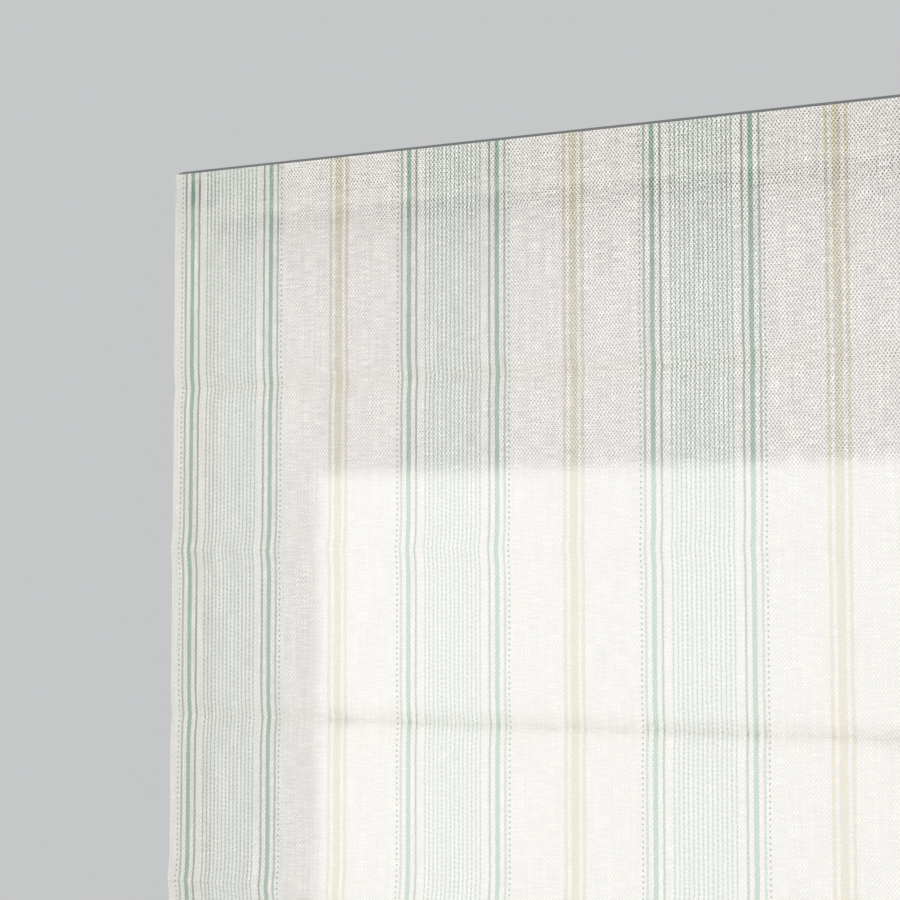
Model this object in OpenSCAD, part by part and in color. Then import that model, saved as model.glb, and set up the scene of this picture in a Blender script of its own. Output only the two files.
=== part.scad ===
// Roman blind for a wall above a window, shown let down: a striped linen cloth hangs from a head rail,
// rods in pocket tapes stiffen its back, and a sprung shaft in the rail winds the lift cords.
// X runs across the blind, Y into the wall, Z up. The origin is the centre of the four wall screws.

/* [Cloth] */
// Width of the cloth
cloth_w = 800; // [600:10:1400]
// Thickness of the woven cloth
cloth_t = 0.8; // [0.5:0.1:1.5]
// Distance from the cloth's top edge to the first rod
first_rod = 121.5; // [110:0.5:200]
// Distance between rods
rod_pitch = 180; // [140:1:260]
// Distance from the last rod to the cloth's bottom edge
bottom_fall = 98.5; // [90:0.5:160]
// How far a rod's fold is drawn in towards the wall
crease_in = 1.5; // [0.5:0.1:3]
// How far the fold half way between two rods stands out
crease_out = 1.8; // [0.5:0.1:3]
// Height above and below a fold in which its crease fades out
crease_reach = 16; // [8:1:30]
// Width of the sewn hem down each side
side_hem_w = 28; // [10:1:50]
// Height of the pocket for the bottom bar
bar_pocket_h = 30; // [28:1:60]
// Height over which the bar pocket's back layer runs up to its seam
seam_rise = 8; // [4:1:16]

/* [Stripes] */
// Width of one repeat of the stripes
stripe_repeat = 136; // [80:1:200]
// Distance from the cloth's left edge to the first wide mint stripe
stripe_lead = 11.9; // [4:0.1:40]
// Distance between the two wide mint stripes of a repeat
mint_gap = 51; // [20:0.5:70]
// Width of a wide mint stripe
mint_w = 2.5; // [1:0.1:6]
// Distance from the first mint stripe to the beige stripe
beige_gap = 93.4; // [80:0.1:120]
// Width of the beige stripe
beige_w = 4.4; // [2:0.1:8]
// How far the thicker yarn of the stripes stands proud
stripe_rise = 0.2; // [0.1:0.05:0.5]

/* [Head rail] */
// Height of the head rail
rail_h = 40; // [38:1:60]
// Wall thickness of the head rail
rail_t = 1.6; // [1.2:0.1:2.5]
// Width of the lips along the rail's open top
rail_lip = 5; // [3:0.5:8]
// How far the rail stands above the cloth's top edge
rail_proud = 2; // [0.5:0.1:3]
// Height of the rail's two rear feet
rail_foot = 4; // [3:0.5:6]
// Room behind the rail for the heads of the wall screws
screw_room = 3; // [2.5:0.1:6]
// Thickness of an end cap's plate
cap_t = 2.5; // [1.5:0.1:5]
// Length of an end cap's spigot inside the rail
spigot_l = 12; // [6:1:25]
// Distance from the cloth's side edge in to the end cap
cap_inset = 0; // [0:0.5:10]

/* [Touch tape] */
// Height of the touch tape
touch_h = 25; // [15:1:28]
// Thickness of the hook half on the rail
hook_t = 1.6; // [1:0.1:2.5]
// Thickness of the loop half on the cloth
loop_t = 1.4; // [1:0.1:2.5]
// Depth of the rail's recess for the hook half
touch_recess = 0.8; // [0.4:0.1:1.2]
// Distance from the cloth's top edge down to the touch tape
touch_drop = 2; // [1:0.5:6]

/* [Rods] */
// Diameter of a rod
rod_d = 4; // [3:0.5:6]
// Thickness of the woven pocket tape
pocket_t = 0.6; // [0.4:0.1:1]
// Height of the pocket tape's sewn edge above the rod
sew_h = 4; // [3:0.5:14]
// Wall of the eyelet's clip on the pocket
clip_t = 1.2; // [0.8:0.1:2]
// Width of the eyelet's clip
clip_w = 8; // [5:0.5:14]
// Inner radius of the eyelet
eyelet_r = 3.5; // [2:0.1:5]
// Wire radius of the eyelet
eyelet_wire_r = 0.9; // [0.6:0.1:1.5]

/* [Lift] */
// Distance from the cloth's side edges to the outer lift cords
cord_inset = 110; // [90:1:200]
// Diameter of a lift cord
cord_d = 1.4; // [0.8:0.1:2]
// Diameter of the lift shaft
shaft_d = 6; // [5:0.5:8]
// Depth of the flat along the lift shaft
shaft_flat = 0.8; // [0.5:0.1:1.2]
// Radius of a spool's drum
spool_r = 8; // [7:0.5:12]
// Radius of a spool's flanges
flange_r = 11; // [10:0.5:14]
// Length of a spool between its flanges' outer faces
spool_l = 36; // [30:1:50]
// Thickness of a spool's flange
flange_t = 1.6; // [1:0.1:3]
// Radius of a spool's journals
journal_r = 4.5; // [4.2:0.1:6]
// Thickness of a cradle's floor
cradle_floor = 2.5; // [2:0.1:4]
// Thickness of a cradle's bearing walls
bearing_t = 3; // [2:0.1:5]
// Thickness of a cradle's long walls
cradle_wall = 1.6; // [1.2:0.1:2.4]
// Outer radius of the cord bush under a cradle
bush_r = 4; // [3:0.1:5]
// Length of the spring motor
motor_l = 70; // [50:1:100]
// Thickness of the spring motor's cover
motor_cover_t = 2.5; // [1.5:0.1:4]
// Radius of the motor's drive collar
collar_r = 5.5; // [5:0.1:7]

/* [Bottom bar] */
// Height of the bottom bar
bar_h = 22; // [15:1:26]
// Thickness of the bottom bar
bar_t = 4; // [3:0.5:6]
// Distance from the cloth's side edge to the bar's caps
bar_inset = 4; // [1:0.5:20]
// Wall of the bar's end caps
bar_cap_t = 0.8; // [0.6:0.1:1.5]
// Length of the bar's end caps
bar_cap_l = 14; // [8:1:25]
// Radius of a cord anchor's plate
anchor_r = 6; // [4:0.5:8]
// Thickness of a cord anchor's plate
anchor_t = 1.6; // [1:0.1:3]

/* [Wall brackets] */
// Width of a bracket
bracket_w = 32; // [20:1:50]
// Thickness of the bracket's sheet
bracket_t = 2; // [1.2:0.1:3]
// Distance from the cloth's side edge to a bracket's middle
bracket_inset = 55; // [40:1:70]
// Diameter of a screw hole
screw_d = 5; // [4:0.1:6]
// Distance between a bracket's two screw holes
screw_gap = 24; // [16:1:28]

/* [Hidden] */
$fn = 48;
// Clearances: loose pieces in a seat, turning pieces in a bearing, soft pieces beside their neighbours
fit = 0.2;
run = 0.05;
soft = 0.3;
spool_gap = 0.6;

rod_count = 7;
rail_top = rail_h / 2;
rail_bot = -rail_h / 2;
floor_z = rail_bot + rail_t;
lip_z = rail_top - rail_t;

// Depths, worked out from the wall forward to the cloth
rail_back = -bracket_t;
in_back = rail_back - screw_room - rail_t;
axis_y = in_back - fit - cradle_wall - spool_gap - flange_r;
axis_z = floor_z + cradle_floor + spool_gap + flange_r;
cord_y = axis_y - spool_r - cord_d / 2 - run;
pocket_r = rod_d / 2 + run + pocket_t;
clip_r = pocket_r + run + clip_t;
rod_y = cord_y - eyelet_r - eyelet_wire_r - clip_r + clip_t / 2;
cloth_back = rod_y - pocket_r - soft - crease_in;
cloth_front = cloth_back - cloth_t;
rail_front = cloth_back + loop_t + hook_t - touch_recess;
in_front = rail_front + touch_recess + rail_t;

// Heights down the cloth, which stays still as far as its heading reaches below the rail
heading_drop = 6;
cloth_top = rail_top - rail_proud;
last_rod_z = cloth_top - first_rod - (rod_count - 1) * rod_pitch;
cloth_bot = last_rod_z - bottom_fall;
heading_z = rail_bot - heading_drop;
pocket_top = cloth_bot + bar_pocket_h;

// Folds from the first rod down, rods and fronts in turn, and how a crease fades out from its sharp edge
crease_steps = [-1, -0.35, 0, 0.35, 1];
folds = [for (i = [0 : 2 * rod_count - 2])
    [cloth_top - first_rod - i * rod_pitch / 2, i % 2 == 0 ? crease_in : -crease_out]];
function fade(u) = pow(1 - abs(u), 2);
function fold_points(f) = [for (u = crease_steps) [f[1] * fade(u), f[0] - u * crease_reach]];
fold_line = [for (f = folds) each fold_points(f)];
cloth_line = concat([[0, cloth_top]], fold_line, [[0, cloth_bot]]);
hem_line = concat([[0, heading_z]], fold_line, [[0, cloth_bot]]);

// Places across the blind
half_w = cloth_w / 2;
cords_x = [-half_w + cord_inset, 0, half_w - cord_inset];
cap_face_x = half_w - cap_inset;
rail_l = 2 * (cap_face_x - cap_t);
rod_l = cloth_w - 2 * (side_hem_w + soft);
rod_tip = 2;
touch_l = rail_l - 2 * cap_t;
journal_l = spool_gap + bearing_t + 2;
cradle_l = spool_l + 2 * (spool_gap + bearing_t);
cord_lead = spool_l / 2 - flange_t - 2 * cord_d - 6;
spool_x = [for (x = cords_x) x + cord_lead];
shaft_tip = 4;
shaft_x0 = spool_x[0] - spool_l / 2 - journal_l - shaft_tip;
shaft_x1 = spool_x[2] + spool_l / 2 + journal_l + shaft_tip;
motor_x = (spool_x[1] + spool_x[2]) / 2;
motor_z1 = axis_z + flange_r;
motor_y0 = in_front + fit + cradle_wall;
motor_y1 = in_back - fit - cradle_wall;
motor_screw_r = 1.5;
motor_screw_l = 9;
motor_screw_inset = 5;
motor_edge_r = 1.5;
collar_flange_t = 1.6;
collar_flange_r = collar_r + 1.5;

// The bottom bar in its pocket
bar_gap = bar_t + 2 * (bar_cap_t + soft);
bar_y = cloth_back + bar_gap / 2;
bar_z = cloth_bot + cloth_t + soft + bar_cap_t + bar_h / 2;
bar_l = cloth_w - 2 * (bar_inset + bar_cap_t);
pocket_back = cloth_back + bar_gap + cloth_t;
anchor_stud_r = 2;
anchor_bell_r = 3;
anchor_bell_h = 9;
cord_hole_r = cord_d / 2 + fit;

// Colours
linen = "#e6e2dc";
tape_white = "#efede8";
alloy = "#8b8d8e";
zinc = "#a9adb0";
nylon_white = "#e9e9e6";
nylon_grey = "#6f7376";
glass_white = "#f2f1ec";

function rod_z(i) = cloth_top - first_rod - (i - 1) * rod_pitch;

// An outline drawn in Y and Z, drawn out along X
module along_x(length, x = 0) {
    translate([x, 0, 0]) rotate([90, 0, 90]) linear_extrude(length, center = true) children();
}

// A round bar along X
module round_x(r, length, at) {
    translate(at) rotate([0, 90, 0]) cylinder(r = r, h = length, center = true);
}

// A turned piece along X: its outline gives radius and place along the axis
module turned_x(outline, at) {
    translate(at) rotate([0, 90, 0]) rotate_extrude() polygon(outline);
}

module rounded_box_2d(low, high, r) {
    translate([low[0] + r, low[1]]) square([high[0] - low[0] - 2 * r, high[1] - low[1]]);
    translate([low[0], low[1] + r]) square([high[0] - low[0], high[1] - low[1] - 2 * r]);
    for (y = [low[0] + r, high[0] - r], z = [low[1] + r, high[1] - r]) translate([y, z]) circle(r);
}

module box_2d(low, high) {
    translate(low) square(high - low);
}

// The lift shaft's round section with its flat, with room all round
module shaft_2d(room = 0) {
    intersection() {
        circle(shaft_d / 2 + room);
        translate([-shaft_d, -shaft_d]) square([2 * shaft_d, 1.5 * shaft_d - shaft_flat + room]);
    }
}

module shaft_bore(x, length) {
    along_x(length, x) translate([axis_y, axis_z]) shaft_2d(run);
}

// Section of the extruded rail: open top with lips, recess for the touch tape, two rear feet
module rail_2d() {
    difference() {
        box_2d([rail_front, rail_bot], [rail_back, rail_top]);
        box_2d([in_front, floor_z], [in_back, lip_z]);
        box_2d([in_front + rail_lip, lip_z - 1], [in_back - rail_lip, rail_top + 1]);
        box_2d([rail_front - 1, cloth_top - touch_drop - touch_h - fit],
               [rail_front + touch_recess, cloth_top - touch_drop + fit]);
        box_2d([rail_back - screw_room, rail_bot + rail_foot], [rail_back + 1, rail_top - rail_foot]);
        bracket_catch_2d(fit);
    }
}

// The nose of a bracket that snaps up into the rail's lower foot
module bracket_catch_2d(room = 0) {
    catch_y = rail_back - screw_room;
    catch_w = screw_room / 2;
    catch_h = 1;
    box_2d([catch_y - room, rail_bot - catch_h], [catch_y + catch_w + room, rail_bot + catch_h]);
}

module headrail() {
    color(alloy) difference() {
        along_x(rail_l) rail_2d();
        for (x = cords_x) translate([x, cord_y, rail_bot - 1]) cylinder(r = bush_r + fit, h = rail_t + 2);
    }
}

// End cap: a plate with the rail's outline and a hollow spigot that plugs its channel
module end_cap(side) {
    spigot_wall = 2;
    corner_r = 0.8;
    low = [in_front + fit, floor_z + fit];
    high = [in_back - fit, lip_z - fit];
    wall = [spigot_wall, spigot_wall];
    color(nylon_grey) {
        along_x(cap_t, side * (cap_face_x - cap_t / 2))
            rounded_box_2d([rail_front, rail_bot], [rail_back, rail_top], corner_r);
        along_x(spigot_l, side * (cap_face_x - cap_t - spigot_l / 2)) difference() {
            box_2d(low, high);
            box_2d(low + wall, high - wall);
        }
    }
}

module end_cap_left() {
    end_cap(-1);
}

module end_cap_right() {
    end_cap(1);
}

// Wall bracket: bent sheet that hooks over the rail's upper foot and snaps into the lower one
module bracket(side) {
    hook_y = in_back - rail_lip - fit - bracket_t;
    hook_drop = 4;
    color(zinc) difference() {
        along_x(bracket_w, side * (half_w - bracket_inset)) {
            box_2d([-bracket_t, rail_bot - bracket_t], [0, rail_top + bracket_t]);
            box_2d([hook_y, rail_top], [0, rail_top + bracket_t]);
            box_2d([hook_y, lip_z - hook_drop], [hook_y + bracket_t, rail_top + bracket_t]);
            box_2d([rail_back - screw_room, rail_bot - bracket_t], [0, rail_bot]);
            bracket_catch_2d();
        }
        for (z = [-1, 1] * screw_gap / 2) translate([side * (half_w - bracket_inset), 1, z])
            rotate([90, 0, 0]) cylinder(d = screw_d, h = bracket_t + 2);
    }
}

module bracket_left() {
    bracket(-1);
}

module bracket_right() {
    bracket(1);
}

module touch_tape(low_y, high_y) {
    color(tape_white) along_x(touch_l)
        box_2d([low_y, cloth_top - touch_drop - touch_h], [high_y, cloth_top - touch_drop]);
}

module hook_tape() {
    touch_tape(rail_front + touch_recess - hook_t, rail_front + touch_recess);
}

module loop_tape() {
    touch_tape(cloth_back, cloth_back + loop_t);
}

// A layer of cloth that follows a fold line, between two depths
module cloth_layer_2d(line, front_y, back_y) {
    last = len(line) - 1;
    polygon(concat([for (p = line) [front_y + p[0], p[1]]],
                   [for (i = [last : -1 : 0]) [back_y + line[i][0], line[i][1]]]));
}

// The pocket at the cloth's foot: its back layer turns up behind the bar and closes at the seam
module bar_pocket_2d(room) {
    back_y = pocket_back - room;
    bend = 2;
    polygon([
        [cloth_back - cloth_t / 2 + room / 2, cloth_bot + room],
        [back_y - bend, cloth_bot + room],
        [back_y, cloth_bot + room + bend],
        [back_y, pocket_top],
        [cloth_back - cloth_t / 2 + room / 2, pocket_top + seam_rise - room]
    ]);
}

// Middles of the raised stripes, from one edge of the cloth to the other
function stripe_places(first, w) = [for (x = [first : stripe_repeat : cloth_w - w]) x - half_w];

module stripe(x, w) {
    along_x(w, x) cloth_layer_2d(cloth_line, cloth_front - stripe_rise, cloth_front + cloth_t / 2);
}

module fabric_panel() {
    color(linen) difference() {
        union() {
            along_x(cloth_w) cloth_layer_2d(cloth_line, cloth_front, cloth_back);
            for (side = [-1, 1]) along_x(side_hem_w, side * (half_w - side_hem_w / 2))
                cloth_layer_2d(hem_line, cloth_front + cloth_t / 2, cloth_back + cloth_t);
            for (lead = [stripe_lead, stripe_lead + mint_gap], x = stripe_places(lead, mint_w))
                stripe(x, mint_w);
            for (x = stripe_places(stripe_lead + beige_gap, beige_w)) stripe(x, beige_w);
            along_x(cloth_w) bar_pocket_2d(0);
        }
        along_x(cloth_w + 2) bar_pocket_2d(cloth_t);
        for (x = cords_x) translate([x, pocket_back + 1, bar_z])
            rotate([90, 0, 0]) cylinder(r = anchor_stud_r + soft, h = cloth_t + 2);
    }
}

module lift_shaft() {
    color(zinc) along_x(shaft_x1 - shaft_x0, (shaft_x0 + shaft_x1) / 2)
        translate([axis_y, axis_z]) shaft_2d();
}

// Spool: journals, flanges, a cone that crowds the first turn on, and the drum
module spool(x) {
    half = spool_l / 2;
    end = half + journal_l;
    cone_l = 5;
    color(nylon_white) difference() {
        turned_x([
            [0, -end], [journal_r, -end], [journal_r, -half], [flange_r, -half], [flange_r, -half + flange_t],
            [flange_r - 1, -half + flange_t], [spool_r, -half + flange_t + cone_l], [spool_r, half - flange_t],
            [flange_r, half - flange_t], [flange_r, half], [journal_r, half], [journal_r, end], [0, end]
        ], [x, axis_y, axis_z]);
        shaft_bore(x, 2 * end + 2);
    }
}

module spool_left() {
    spool(spool_x[0]);
}

module spool_middle() {
    spool(spool_x[1]);
}

module spool_right() {
    spool(spool_x[2]);
}

// Cradle: a tray with two snap bearings, corner posts that reach under the rail's lips, and a cord bush
module cradle(x, x_cord) {
    low = [in_front + fit, floor_z];
    high = [in_back - fit, lip_z - fit];
    bearing_top = axis_z + journal_r + 2;
    wall_top = axis_z - journal_r;
    bush_drop = 1.5;
    mouth = 1.7 * journal_r;
    color(nylon_white) difference() {
        union() {
            along_x(cradle_l, x) difference() {
                box_2d(low, [high[0], wall_top]);
                box_2d(low + [cradle_wall, cradle_floor], [high[0] - cradle_wall, wall_top + 1]);
            }
            for (end = [-1, 1]) along_x(bearing_t, x + end * (cradle_l - bearing_t) / 2) {
                box_2d(low, [high[0], bearing_top]);
                box_2d(low, [low[0] + rail_lip, high[1]]);
                box_2d([high[0] - rail_lip, low[1]], high);
            }
            translate([x_cord, cord_y, rail_bot - bush_drop])
                cylinder(r = bush_r, h = floor_z + cradle_floor + bush_drop - rail_bot);
        }
        round_x(journal_r + run, cradle_l + 2, [x, axis_y, axis_z]);
        along_x(cradle_l + 2, x) box_2d([axis_y - mouth / 2, axis_z], [axis_y + mouth / 2, rail_top]);
        translate([x_cord, cord_y, rail_bot - bush_drop - 1]) cylinder(r = bush_r / 2, h = rail_h / 2);
    }
}

module cradle_left() {
    cradle(spool_x[0], cords_x[0]);
}

module cradle_middle() {
    cradle(spool_x[1], cords_x[1]);
}

module cradle_right() {
    cradle(spool_x[2], cords_x[2]);
}

// Places of the motor's four screws
module at_motor_screws() {
    reach = motor_l / 2 - motor_screw_inset;
    for (x = [-1, 1] * reach, y = [motor_y0 + motor_screw_inset, motor_y1 - motor_screw_inset])
        translate([motor_x + x, y, motor_z1]) children();
}

// Spring motor: a closed case on the rail's floor, with the drive collar running through it
module motor_case() {
    color(nylon_grey) difference() {
        along_x(motor_l, motor_x) rounded_box_2d([motor_y0, floor_z], [motor_y1, motor_z1], motor_edge_r);
        round_x(collar_r + run, motor_l + 2, [motor_x, axis_y, axis_z]);
        at_motor_screws() translate([0, 0, -motor_screw_l])
            cylinder(r = motor_screw_r + run, h = motor_screw_l + 1);
    }
}

module motor_cover() {
    rib_count = 5;
    rib_gap = motor_l / (rib_count + 3);
    rib_inset = 8;
    rib_w = 1.6;
    rib_h = 1;
    rib_l = motor_y1 - motor_y0 - 2 * rib_inset;
    color(nylon_white) difference() {
        union() {
            translate([motor_x, 0, motor_z1]) linear_extrude(motor_cover_t) translate([-motor_l / 2, 0])
                rounded_box_2d([0, motor_y0], [motor_l, motor_y1], 2 * motor_edge_r);
            for (i = [1 : rib_count])
                translate([motor_x + (i - (rib_count + 1) / 2) * rib_gap, motor_y0 + rib_inset, motor_z1])
                    cube([rib_w, rib_l, motor_cover_t + rib_h]);
        }
        at_motor_screws() translate([0, 0, -1]) cylinder(r = motor_screw_r + fit, h = motor_cover_t + 2);
    }
}

module motor_screws() {
    head_h = 1.6;
    slot_l = 4;
    slot_w = 0.8;
    color(zinc) at_motor_screws() {
        translate([0, 0, -motor_screw_l]) cylinder(r = motor_screw_r, h = motor_screw_l + motor_cover_t);
        translate([0, 0, motor_cover_t]) difference() {
            cylinder(r = 2 * motor_screw_r, h = head_h);
            for (turn = [0, 90]) rotate(turn) translate([-slot_l / 2, -slot_w / 2, head_h / 2])
                cube([slot_l, slot_w, head_h]);
        }
    }
}

// Drive collar keyed to the shaft, with a flange at each end of the motor's case
module motor_collar() {
    half = motor_l / 2 + soft;
    end = half + collar_flange_t;
    color(nylon_white) difference() {
        turned_x([
            [0, -end], [collar_flange_r, -end], [collar_flange_r, -half], [collar_r, -half],
            [collar_r, half], [collar_flange_r, half], [collar_flange_r, end], [0, end]
        ], [motor_x, axis_y, axis_z]);
        shaft_bore(motor_x, 2 * end + 2);
    }
}

// Glass-fibre rod with a small bevel at each tip
module rod(i) {
    bevel = 0.6;
    r = rod_d / 2;
    half = rod_l / 2 + rod_tip;
    color(glass_white) turned_x([
        [0, -half], [r - bevel, -half], [r, -half + bevel], [r, half - bevel], [r - bevel, half], [0, half]
    ], [0, rod_y, rod_z(i)]);
}

// Woven tape folded into a tunnel round the rod, with both edges sewn to the cloth above it
module rod_pocket(i) {
    color(tape_white) along_x(rod_l) translate([rod_y, rod_z(i)]) difference() {
        union() {
            circle(pocket_r);
            box_2d([-pocket_r, 0], [-pocket_r + 2 * pocket_t, pocket_r + sew_h]);
        }
        circle(rod_d / 2 + run);
    }
}

// Eyelets clipped on the pocket's back, one for each lift cord
module eyelets(i) {
    color(nylon_white) for (x = cords_x) translate([x, rod_y, rod_z(i)]) difference() {
        union() {
            along_x(clip_w) circle(clip_r);
            translate([0, cord_y - rod_y, 0]) rotate_extrude()
                translate([eyelet_r + eyelet_wire_r, 0]) circle(eyelet_wire_r);
        }
        along_x(clip_w + 2) circle(pocket_r + run);
        along_x(clip_w + 2) box_2d([-2 * clip_r, -2 * clip_r], [0, 2 * clip_r]);
    }
}

// Flat bar with round edges
module bar_2d(room) {
    r = bar_t / 2 + room;
    rise = bar_h / 2 - bar_t / 2;
    box_2d([-r, -rise], [r, rise]);
    for (z = [-1, 1] * rise) translate([0, z]) circle(r);
}

module bottom_bar() {
    color(alloy) along_x(bar_l) translate([bar_y, bar_z]) bar_2d(0);
}

module bar_cap(side) {
    end_x = half_w - bar_inset;
    color(nylon_grey) difference() {
        along_x(bar_cap_l, side * (end_x - bar_cap_l / 2)) translate([bar_y, bar_z]) bar_2d(bar_cap_t);
        along_x(bar_l, 0) translate([bar_y, bar_z]) bar_2d(run);
    }
}

module bar_cap_left() {
    bar_cap(-1);
}

module bar_cap_right() {
    bar_cap(1);
}

// Cord anchors: a stud through the pocket's back to the bar, a plate, and a bell that takes the cord's knot
module cord_anchors() {
    plate_y = pocket_back + soft;
    bar_back = bar_y + bar_t / 2;
    web_t = 3;
    color(nylon_white) for (x = cords_x) difference() {
        union() {
            translate([x, plate_y, bar_z]) rotate([90, 0, 0])
                cylinder(r = anchor_stud_r, h = plate_y - bar_back);
            translate([x, plate_y + anchor_t, bar_z]) rotate([90, 0, 0])
                cylinder(r = anchor_r, h = anchor_t);
            translate([x - web_t / 2, plate_y, bar_z - anchor_bell_h / 2])
                cube([web_t, cord_y - plate_y, anchor_bell_h]);
            translate([x, cord_y, bar_z]) cylinder(r = anchor_bell_r, h = anchor_bell_h, center = true);
        }
        translate([x, cord_y, bar_z]) cylinder(r = cord_hole_r, h = anchor_bell_h + 2, center = true);
    }
}

// Lift cord from the spool's front straight down through the eyelets to its anchor
module lift_cord(x) {
    cord_end = bar_z - anchor_bell_h / 2;
    color(tape_white) translate([x, cord_y, cord_end]) cylinder(d = cord_d, h = axis_z - cord_end);
}

module lift_cord_left() {
    lift_cord(cords_x[0]);
}

module lift_cord_middle() {
    lift_cord(cords_x[1]);
}

module lift_cord_right() {
    lift_cord(cords_x[2]);
}

headrail();
end_cap_left();
end_cap_right();
bracket_left();
bracket_right();
hook_tape();
loop_tape();
fabric_panel();
lift_shaft();
spool_left();
spool_middle();
spool_right();
cradle_left();
cradle_middle();
cradle_right();
motor_case();
motor_cover();
motor_screws();
motor_collar();
for (i = [1 : rod_count]) {
    rod(i);
    rod_pocket(i);
    eyelets(i);
}
bottom_bar();
bar_cap_left();
bar_cap_right();
cord_anchors();
lift_cord_left();
lift_cord_middle();
lift_cord_right();
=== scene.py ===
"""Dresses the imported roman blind: striped linen, lift cords, stitching and the finishes of its hardware."""

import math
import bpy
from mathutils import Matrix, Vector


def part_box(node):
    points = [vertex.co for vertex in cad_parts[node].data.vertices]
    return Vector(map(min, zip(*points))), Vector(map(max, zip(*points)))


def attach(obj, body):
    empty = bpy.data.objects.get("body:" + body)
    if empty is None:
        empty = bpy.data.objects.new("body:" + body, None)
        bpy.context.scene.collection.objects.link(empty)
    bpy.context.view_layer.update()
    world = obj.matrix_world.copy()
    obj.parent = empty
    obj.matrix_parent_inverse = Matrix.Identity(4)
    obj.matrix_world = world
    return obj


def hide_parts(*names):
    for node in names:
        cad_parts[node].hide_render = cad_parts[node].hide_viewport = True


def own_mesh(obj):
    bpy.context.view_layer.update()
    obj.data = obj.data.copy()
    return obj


bl_info = {
    "name": "Roman blind",
    "version": (1, 0, 0),
    "blender": (4, 5, 0),
    "location": "View3D > Sidebar > Roman Blind",
    "description": "Dresses a flat roman blind with its striped linen, cords, stitching and finishes",
    "category": "Object",
}

import bpy
from mathutils import Vector

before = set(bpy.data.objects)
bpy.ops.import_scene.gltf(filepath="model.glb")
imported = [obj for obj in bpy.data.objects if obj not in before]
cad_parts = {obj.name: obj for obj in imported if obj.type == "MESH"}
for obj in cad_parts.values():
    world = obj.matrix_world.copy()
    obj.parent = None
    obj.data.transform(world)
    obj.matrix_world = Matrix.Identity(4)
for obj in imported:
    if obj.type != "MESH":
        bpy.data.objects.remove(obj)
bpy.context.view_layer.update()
MM = 0.001

# Places of the frame that the soft pieces hang on, in metres
CLOTH_LOW, CLOTH_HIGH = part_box("fabric_panel")
RAIL_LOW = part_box("headrail")[0]
CORD_LOW, CORD_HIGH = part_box("lift_cord_left")
SHAFT_LOW, SHAFT_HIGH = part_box("lift_shaft")
CLOTH_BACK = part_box("loop_tape")[0].y
CLOTH_T = 0.8 * MM
CLOTH_FRONT = CLOTH_BACK - CLOTH_T
ROD_NAMES = sorted(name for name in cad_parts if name.startswith("rod_") and name[4:].isdigit())
ROD_Z = [sum(corner.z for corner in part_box(name)) / 2 for name in ROD_NAMES]
FOLD_Z = [(a + b) / 2 for a, b in zip(ROD_Z, ROD_Z[1:])]
SIDES = ("left", "middle", "right")

# How finely the cloth is drawn: across its face and its hems, down its folded ends and down its panel
ACROSS_STEP, HEM_STEP, END_STEP, DOWN_STEP = 8 * MM, 7 * MM, 5 * MM, 9 * MM
# Rows of the panel above and below a fold, in millimetres, closest where the cloth bends most
FOLD_ROWS = (0, 0.5, 1.2, 2.2, 3.4, 5, 7, 9.5, 12.5, 16)
# Slow waves of the cloth: height, turn across and turn up in radians per metre, and start
RIPPLES = ((1.0, 9.1, 3.7, 0.6), (0.7, 17.3, -5.9, 2.1), (0.5, 4.3, 21.0, 0.0))
# Distance from a held edge in which the waves grow, in metres
HELD_REACH = 0.12

# Bar pocket: height of its straight back, of the strip that its seam is sewn in, and the share of a side hem's depth
# that is left where the seam presses it
POCKET_STRAIGHT = 30 * MM
SEAM_STRIP = 3 * MM
SEAM_PRESS = 0.5

# Sewing thread, and how far a stitch stands off what it holds
THREAD_R, SLIP_THREAD_R = 0.2 * MM, 0.22 * MM
STITCH_LIFT, SLIP_LIFT = 0.25 * MM, 0.35 * MM
THREAD_SIDES = 5

# Lift cords: plaits of the braid, turns on a spool, and the knot under an anchor
PLAIT = 1.2 * MM
CORD_SIDES, CORD_STEP = 10, 4 * MM
SPOOL_TURNS, TURN_POINTS = 2.25, 24
KNOT_LOOP, KNOT_DROP, KNOT_POINTS, KNOT_SIDES = 0.75 * MM, 1.6 * MM, 60, 8
KNOT_TIGHT = 0.8
TAIL_ASIDE = 0.4 * MM

# Coordinate maps, camera sensor in millimetres, and settings that many nodes share
CUT_MAP = "cut"
BRAID_MAP = "braid"
SENSOR_WIDTH = 36
SMOOTH = {"interpolation_type": "SMOOTHSTEP"}
SHADED = {"data_type": "RGBA", "blend_type": "MULTIPLY"}


def linear(code):
    """Linear RGB of an sRGB hex colour."""
    parts = [int(code[i:i + 2], 16) / 255 for i in (1, 3, 5)]
    return tuple(part / 12.92 if part <= 0.04045 else ((part + 0.055) / 1.055) ** 2.4 for part in parts)


def length(name, description, default_mm):
    """A length property, given in millimetres and kept in metres."""
    return bpy.props.FloatProperty(
        name=name, description=description, default=default_mm * MM, unit="LENGTH", precision=4)


def colour(name, description, code):
    """A colour property, given as an sRGB hex value."""
    return bpy.props.FloatVectorProperty(
        name=name, description=description, default=linear(code), subtype="COLOR", size=3, min=0, max=1)


def share(name, description, default):
    """A share from 0 to 1."""
    return bpy.props.FloatProperty(
        name=name, description=description, default=default, subtype="FACTOR", min=0, max=1)


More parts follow.
